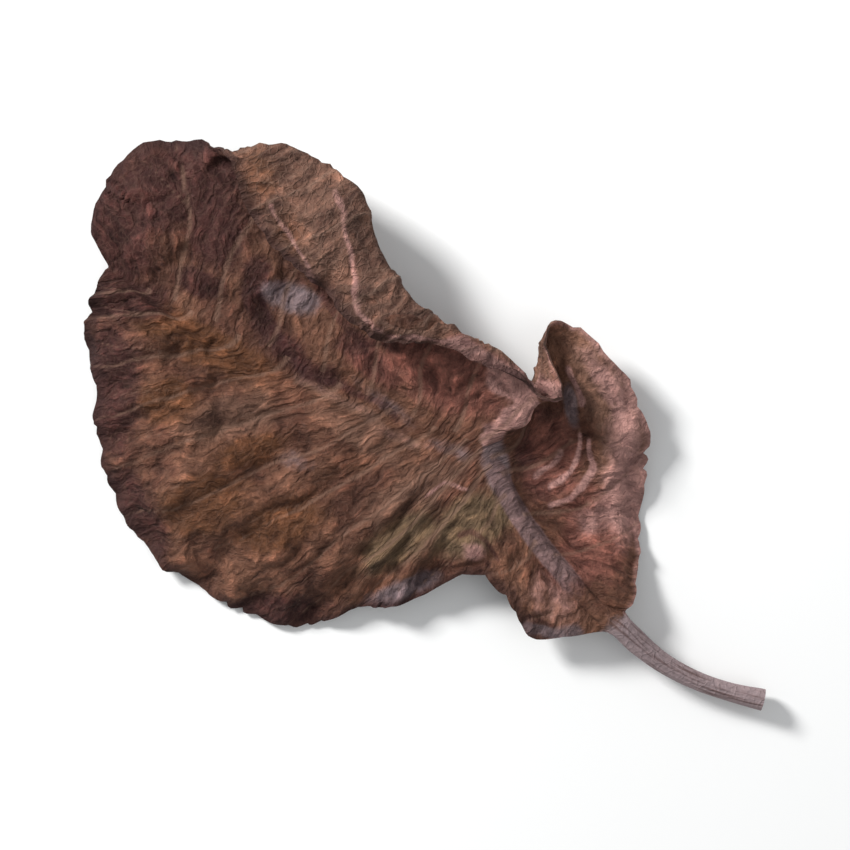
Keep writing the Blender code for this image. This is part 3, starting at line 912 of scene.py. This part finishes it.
def blade_side(name, ground, deep, tones, vein_tone, net_share, net_relief):
    """The whole material of one side. A tone is a mask's name, a colour and the most of it."""
    material = bpy.data.materials.new(name)
    material.use_nodes = True
    tree = material.node_tree
    shader = tree.nodes["Principled BSDF"]
    found = patterns(tree)

    colour = lay_over(tree, ground, deep, ramp(tree, found["blotches"], 0.40, 0.62))
    for mask_name, tone, most in tones:
        shaken = sum_of(tree, painted(tree, mask_name), found["ragged"])
        colour = lay_over(tree, colour, tone, ramp(tree, shaken, 0.12, 0.75, 0, most))
    colour = light_and_dark(tree, colour, found)

    on_vein = ramp(tree, painted(tree, "vein"), 0.3, 1.0, 0, 0.42)
    colour = lay_over(tree, colour, vein_tone, on_vein)
    on_net = sum_of(tree, found["thread"], net_share, "MULTIPLY")
    colour = lay_over(tree, colour, vein_tone, on_net)
    feed(tree, rim_and_stalk(tree, colour, found), shader.inputs["Base Color"])

    roughness = ramp(tree, found["streaks"], 0.35, 0.7, 0.85, 0.62)
    feed(tree, roughness, shader.inputs["Roughness"])
    shader.inputs["Specular IOR Level"].default_value = SHINE
    feed(tree, relief(tree, found, net_relief), shader.inputs["Normal"])
    return material


print("a dull surface: its shine is", SHINE, "where varnish would have 0.5")

# %% The finishes of the two sides and the torn edge
# Some tones stand in for light: tan and pink are partly painted highlights, the dark purple is
# partly painted shade, and the darkest tone is all painted shade.
TONES = (
    ("tan_and_painted_highlight", (0.155, 0.082, 0.056), 0.8),
    ("ember", (0.096, 0.038, 0.016), 0.85),
    ("brick", (0.184, 0.070, 0.053), 0.85),
    ("olive", (0.116, 0.082, 0.046), 0.75),
    ("dark_purple_and_painted_shade", (0.044, 0.0155, 0.0135), 0.95),
    ("grey_mauve", (0.152, 0.115, 0.122), 0.85),
    ("pink_and_painted_highlight", (0.350, 0.190, 0.165), 1.0),
    ("midrib", (0.150, 0.094, 0.092), 0.95),
    ("painted_shade", (0.044, 0.015, 0.014), 0.68),
)
UNDER_NAMES = ("ember", "brick", "dark_purple_and_painted_shade", "grey_mauve", "pink_and_painted_highlight")
UNDER_TONES = [tone for tone in TONES if tone[0] in UNDER_NAMES]
KEEL_TONE = ("keel", (0.240, 0.160, 0.128), 0.85)

upper_side = blade_side(
    "upper_side", (0.136, 0.062, 0.038), (0.087, 0.036, 0.023), TONES,
    (0.240, 0.138, 0.098), 0.08, 0.12,
)
under_side = blade_side(
    "under_side", (0.132, 0.068, 0.047), (0.090, 0.045, 0.032), [*UNDER_TONES, KEEL_TONE],
    (0.260, 0.160, 0.118), 0.16, 0.3,
)
torn_edge = blade_side(
    "torn_edge", (0.140, 0.080, 0.060), (0.085, 0.044, 0.034), (),
    (0.240, 0.160, 0.125), 0.1, 0.2,
)
print("materials:", [material.name for material in bpy.data.materials])
print("nodes in the upper side's material:", len(upper_side.node_tree.nodes))

# %% [markdown]
# ## The mesh
#
# The leaf could be built point by point and face by face, but Blender's grid has the right number
# of points already joined into squares. Solidify gives it a second skin and closes the edge, which
# also keeps the sides apart for their materials. Then every point is put in its place on the upper
# or the lower skin, which bends the flat slab into the leaf.

# %% A slab
SLAB_SIZE, SLAB_THICKNESS = 0.08, 0.001
bpy.ops.object.select_all(action="DESELECT")
bpy.ops.mesh.primitive_grid_add(
    x_subdivisions=columns - 1, y_subdivisions=rows - 1, size=SLAB_SIZE, calc_uvs=True
)
leaf = bpy.context.object
leaf.name = "dried_leaf"
leaf.data.name = "dried_leaf"
for side in (upper_side, under_side, torn_edge):
    leaf.data.materials.append(side)
bpy.ops.object.transform_apply(location=True, rotation=True, scale=True)
shell = leaf.modifiers.new("second skin", "SOLIDIFY")
shell.thickness = SLAB_THICKNESS
shell.offset = 0
shell.material_offset = 1
shell.material_offset_rim = 2
bpy.ops.object.modifier_apply(modifier=shell.name)
print("the slab has", len(leaf.data.polygons), "squares on its two skins and its edge")

# %% The slab bent into the leaf
points = np.empty(len(leaf.data.vertices) * 3, np.float32)
leaf.data.vertices.foreach_get("co", points)
points = points.reshape(-1, 3)
column = np.rint((points[:, 0] / SLAB_SIZE + 0.5) * (columns - 1)).astype(int)
row = np.rint((points[:, 1] / SLAB_SIZE + 0.5) * (rows - 1)).astype(int)
is_upper = points[:, 2] > 0
placed = np.where(is_upper[:, None], upper[row, column], lower[row, column])
placed = (placed + shift) * MM
leaf.data.vertices.foreach_set("co", placed.astype(np.float32).ravel())
leaf.data.update()
print("points:", len(points), "triangles:", len(leaf.data.polygons) * 2)

# %% [markdown]
# ## What the material reads from the mesh
#
# Every mask is stored as a number at each point, and the material reads it by name. The run map is
# a UV map that is not unwrapped but computed: one way is the distance off the midrib, the other the
# distance along the leaf. Patterns read in it follow the ribs, wherever the leaf bends.

# %% Masks and run map on the mesh
RUN_WIDTH, RUN_LENGTH = 100, 130


def mask(name):
    """Stores the mask of that name as an attribute of the mesh."""
    values = np.broadcast_to(masks[name], across.shape)[row, column]
    layer = leaf.data.attributes.new(name, "FLOAT", "POINT")
    layer.data.foreach_set("value", values.astype(np.float32))


for name in masks:
    mask(name)

run_map = leaf.data.uv_layers[0]
run_map.name = "run"
corner_points = np.empty(len(leaf.data.loops), np.int32)
leaf.data.loops.foreach_get("vertex_index", corner_points)
run = np.stack([off[row, column] / RUN_WIDTH + 0.5, along[row] / RUN_LENGTH], axis=1)
run_map.data.foreach_set("uv", run[corner_points].astype(np.float32).ravel())
print("run map on", len(corner_points), "corners")

# %% Smooth shading, and the leaf's place in the frame
SHARP_FROM = 60
bpy.ops.object.select_all(action="DESELECT")
leaf.select_set(True)
bpy.context.view_layer.objects.active = leaf
bpy.ops.object.shade_smooth_by_angle(angle=math.radians(SHARP_FROM))

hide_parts("leaf")
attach(leaf, "root")
print(leaf.name, "stands for the solid leaf and is smooth below", SHARP_FROM, "degrees")

# %% [markdown]
# ## The setting
#
# A leaf this crinkled needs light from one side, or its folds would not show. A sun would make hard
# black edges, so there is one soft lamp on the upper left for the shape, a weak broad one from the
# other side so that no hollow goes black, and a pale sky. The floor is pale and plain. The camera
# looks straight down through a long lens, so the leaf keeps its true outline.

# %% Floor
FLOOR_SIZE, FLOOR_GAP = 4, 0.0002
bpy.ops.mesh.primitive_plane_add(size=FLOOR_SIZE, location=(0, 0, -FLOOR_GAP))
floor = bpy.context.object
floor.name = "floor"
paper = bpy.data.materials.new("pale_floor")
paper.use_nodes = True
paper_shader = paper.node_tree.nodes["Principled BSDF"]
paper_here = node(paper.node_tree, "ShaderNodeTexCoord").outputs["Object"]
paper_tone = lay_over(
    paper.node_tree, (0.86, 0.86, 0.85), (0.82, 0.82, 0.81),
    ramp(paper.node_tree, grain(paper.node_tree, paper_here, 6), 0.35, 0.65),
)
feed(paper.node_tree, paper_tone, paper_shader.inputs["Base Color"])
paper_shader.inputs["Roughness"].default_value = 0.9
floor.data.materials.append(paper)
print("the floor is", FLOOR_SIZE, "m wide")


# %% Lamps and sky
def lamp(name, place, size, power):
    """A square lamp of that size in metres and power in watts, aimed at the leaf."""
    light = bpy.data.lights.new(name, "AREA")
    light.size = size
    light.energy = power
    holder = bpy.data.objects.new(name, light)
    holder.location = place
    aim = Vector((0, 0, 0)) - Vector(place)
    holder.rotation_euler = aim.to_track_quat("-Z", "Y").to_euler()
    bpy.context.scene.collection.objects.link(holder)


lamp("key_lamp", (-0.45, 0.36, 0.36), 0.16, 6.8)
lamp("fill_lamp", (0.5, -0.2, 0.7), 0.6, 1.2)
sky = bpy.data.worlds.new("sky")
bpy.context.scene.world = sky
sky.use_nodes = True
sky.node_tree.nodes["Background"].inputs["Color"].default_value = (0.95, 0.97, 1.0, 1)
sky.node_tree.nodes["Background"].inputs["Strength"].default_value = 0.45
bpy.context.scene.view_settings.view_transform = "Standard"

# %% Camera
FRAME_WIDTH, FOCAL_LENGTH = 0.105, 120
lens = bpy.data.cameras.new("camera")
lens.lens = FOCAL_LENGTH
camera = bpy.data.objects.new("camera", lens)
camera.location = (0, 0, FRAME_WIDTH * lens.lens / lens.sensor_width)
bpy.context.scene.collection.objects.link(camera)
bpy.context.scene.camera = camera
print("the camera looks down from", round(camera.location.z, 3), "m")
